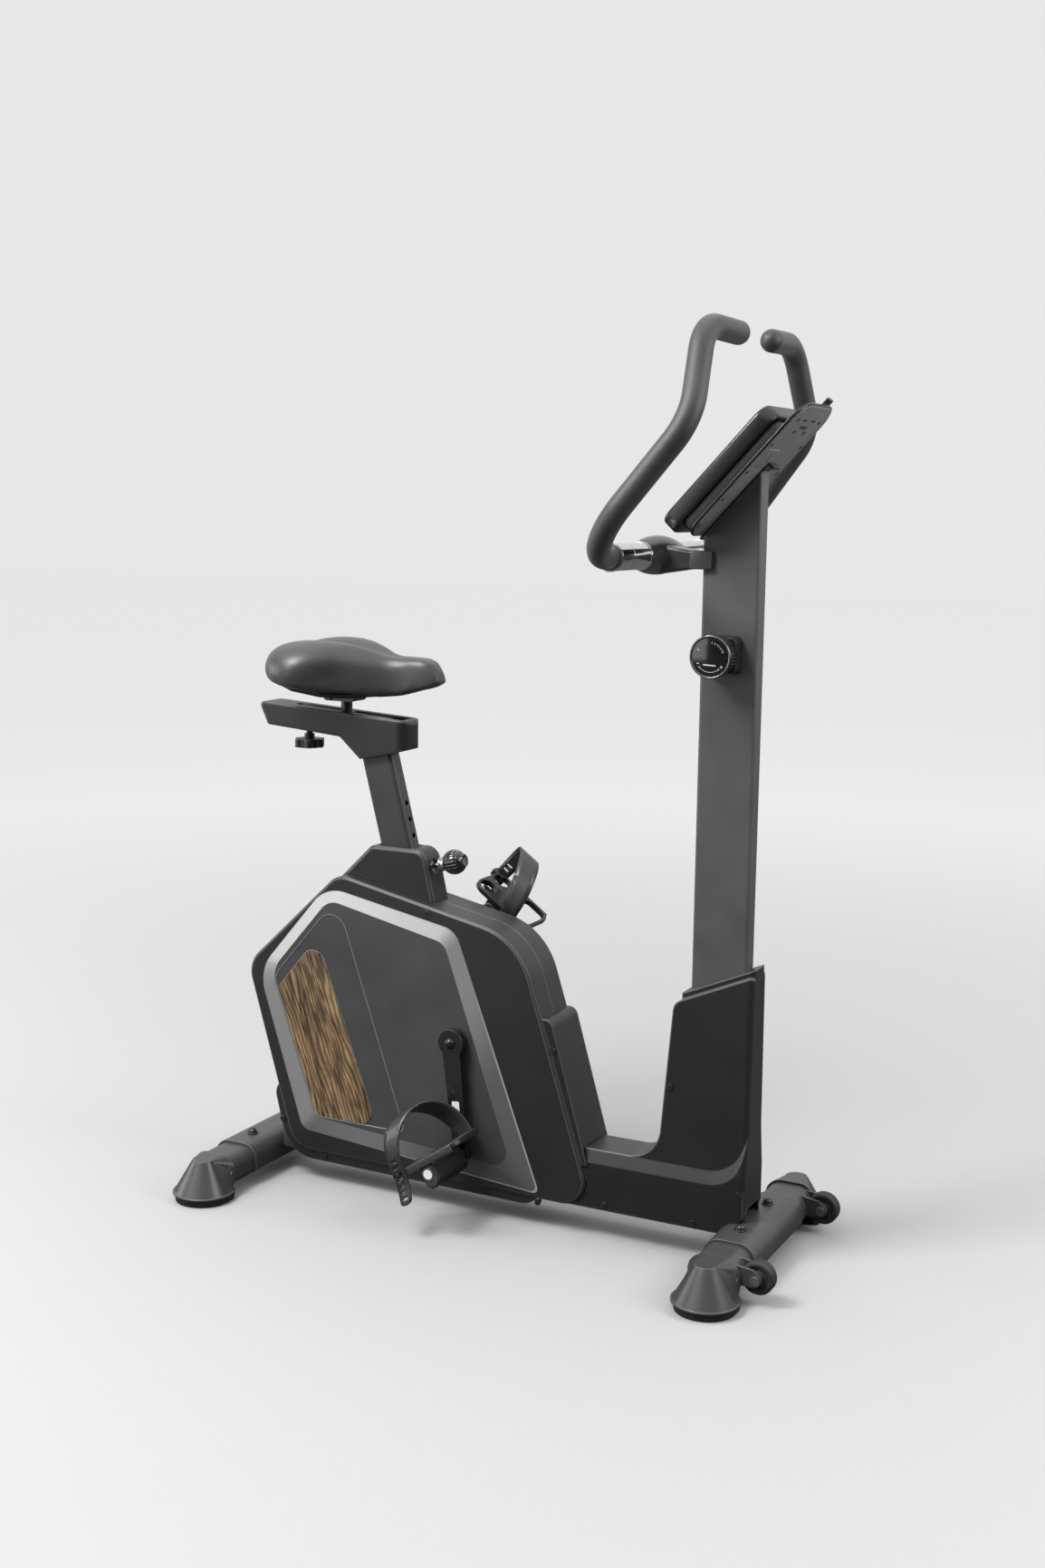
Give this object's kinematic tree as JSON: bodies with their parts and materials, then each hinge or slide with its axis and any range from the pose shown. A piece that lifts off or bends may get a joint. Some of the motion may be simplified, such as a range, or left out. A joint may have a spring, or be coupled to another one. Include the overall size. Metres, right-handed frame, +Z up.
{
  "type": "exercise bike",
  "caption": "Upright exercise bike: closed drive cover on a low rail with cross feet, sliding padded saddle, tall column with looped handlebar, tilted console and resistance knob.",
  "frame": {"origin": "On the floor, midway between the rearmost and foremost points, on the centre plane.", "axes": "+X is the way the rider faces, +Y the rider's left, +Z up."},
  "size_m": [0.9835, 0.5434, 1.3449],
  "materials": {
    "frame_paint": "satin dark grey powder coat",
    "black_steel": "black paint",
    "bolt_steel": "bare steel",
    "chrome": "polished",
    "cast_iron": "machined rim",
    "cover_plastic": "moulded dark grey",
    "black_plastic": "moulded black",
    "gloss_black": "gloss black",
    "panel_silver": "silver paint on plastic",
    "wood": "brown wood grain trim",
    "rubber": "black rubber",
    "foam": "black foam sleeve",
    "saddle_vinyl": "padded black vinyl"
  },
  "bodies": {
    "frame": {"main_rail": "frame_paint", "seat_tube": "black_steel", "column": "frame_paint", "front_stabiliser": "frame_paint", "rear_stabiliser": "frame_paint", "stabiliser_bolts": "bolt_steel", "foot_cap_front_right": "cover_plastic", "foot_cap_front_left": "cover_plastic", "foot_cap_rear_right": "cover_plastic", "foot_cap_rear_left": "cover_plastic", "foot_pads": "rubber", "wheel_bolts": "bolt_steel", "crank_bearings": "bolt_steel", "flywheel_mount": "black_steel", "shroud_right": "cover_plastic", "shroud_left": "cover_plastic", "side_panel_right": "panel_silver", "side_panel_left": "panel_silver", "wood_insert_right": "wood", "wood_insert_left": "wood", "front_fairing": "cover_plastic", "base_cover": "cover_plastic", "seat_tower_cover": "cover_plastic", "post_bushing": "black_plastic", "pop_pin_barrel": "bolt_steel", "drive_belt": "rubber", "tension_cable": "rubber", "handlebar": "black_steel", "handlebar_clamp": "gloss_black", "grip_right": "foam", "grip_left": "foam", "sensor_right": "chrome", "sensor_left": "chrome", "console_shell": "gloss_black", "console_back": "cover_plastic", "console_bracket": "black_steel", "knob_base": "black_plastic", "cover_screws": "black_steel"},
    "seat_post": {"seat_post": "frame_paint", "slider_housing": "black_plastic"},
    "saddle": {"saddle": "saddle_vinyl", "saddle_base": "black_plastic", "saddle_stem": "black_steel"},
    "slider_knob": {"slider_knob": "black_plastic"},
    "pop_pin": {"pop_pin": "gloss_black"},
    "crank": {"crank_axle": "bolt_steel", "crank_arm_right": "black_steel", "crank_arm_left": "black_steel", "pedal_spindles": "bolt_steel", "drive_pulley": "black_plastic"},
    "pedal_right": {"pedal_right": "black_plastic", "pedal_strap_right": "rubber"},
    "pedal_left": {"pedal_left": "black_plastic", "pedal_strap_left": "rubber"},
    "flywheel": {"flywheel": "cast_iron"},
    "magnet_bracket": {"magnet_bracket": "black_steel"},
    "tension_knob": {"tension_knob": "gloss_black"},
    "console_button": {"console_button": "black_plastic"},
    "transport_wheel_right": {"transport_wheel_right": "rubber"},
    "transport_wheel_left": {"transport_wheel_left": "rubber"}
  },
  "joints": [
    {"name": "seat_height", "type": "slide", "parent": "frame", "child": "seat_post", "axis": [-0.2521, 0, 0.9677], "range_m": [-0.104, 0.13]},
    {"name": "saddle_slide", "type": "slide", "parent": "seat_post", "child": "saddle", "axis": [1, 0, 0], "range_m": [-0.07, 0.06]},
    {"name": "slider_knob_turn", "type": "hinge", "parent": "seat_post", "child": "slider_knob", "pos_m": [-0.36635, 0, 0.713], "axis": [0, 0, 1], "range_deg": [0, 540]},
    {"name": "pin_pull", "type": "slide", "parent": "frame", "child": "pop_pin", "axis": [0.9677, 0, 0.2521], "range_m": [0, 0.01], "stiffness_N_per_m": 800, "springref_m": -0.012},
    {"name": "crank_turn", "type": "hinge", "parent": "frame", "child": "crank", "pos_m": [-0.06525, 0, 0.278], "axis": [0, 1, 0], "continuous": true},
    {"name": "pedal_right_turn", "type": "hinge", "parent": "crank", "child": "pedal_right", "pos_m": [-0.04635, -0.125, 0.10402], "axis": [0, 1, 0], "continuous": true},
    {"name": "pedal_left_turn", "type": "hinge", "parent": "crank", "child": "pedal_left", "pos_m": [-0.08415, 0.125, 0.45198], "axis": [0, 1, 0], "continuous": true},
    {"name": "flywheel_turn", "type": "hinge", "parent": "frame", "child": "flywheel", "pos_m": [-0.27225, 0, 0.2], "axis": [0, 1, 0], "continuous": true},
    {"name": "knob_turn", "type": "hinge", "parent": "frame", "child": "tension_knob", "pos_m": [0.33875, 0, 0.889], "axis": [0, -1, 0], "range_deg": [-48, 252]},
    {"name": "magnet_swing", "type": "hinge", "parent": "frame", "child": "magnet_bracket", "pos_m": [-0.36276, 0, 0.29051], "axis": [0, 1, 0], "range_deg": [-0.17, 0.85]},
    {"name": "button_press", "type": "slide", "parent": "frame", "child": "console_button", "axis": [0.7314, 0, -0.682], "range_m": [0, 0.0025], "stiffness_N_per_m": 300, "springref_m": -0.003},
    {"name": "wheel_right_turn", "type": "hinge", "parent": "frame", "child": "transport_wheel_right", "pos_m": [0.46775, -0.145, 0.041], "axis": [0, 1, 0], "continuous": true},
    {"name": "wheel_left_turn", "type": "hinge", "parent": "frame", "child": "transport_wheel_left", "pos_m": [0.46775, 0.145, 0.041], "axis": [0, 1, 0], "continuous": true}
  ],
  "couplings": [
    {"joint": "crank_turn", "follows": "flywheel_turn", "ratio": 0.2283},
    {"joint": "magnet_swing", "follows": "knob_turn", "ratio": 0.003333}
  ]
}
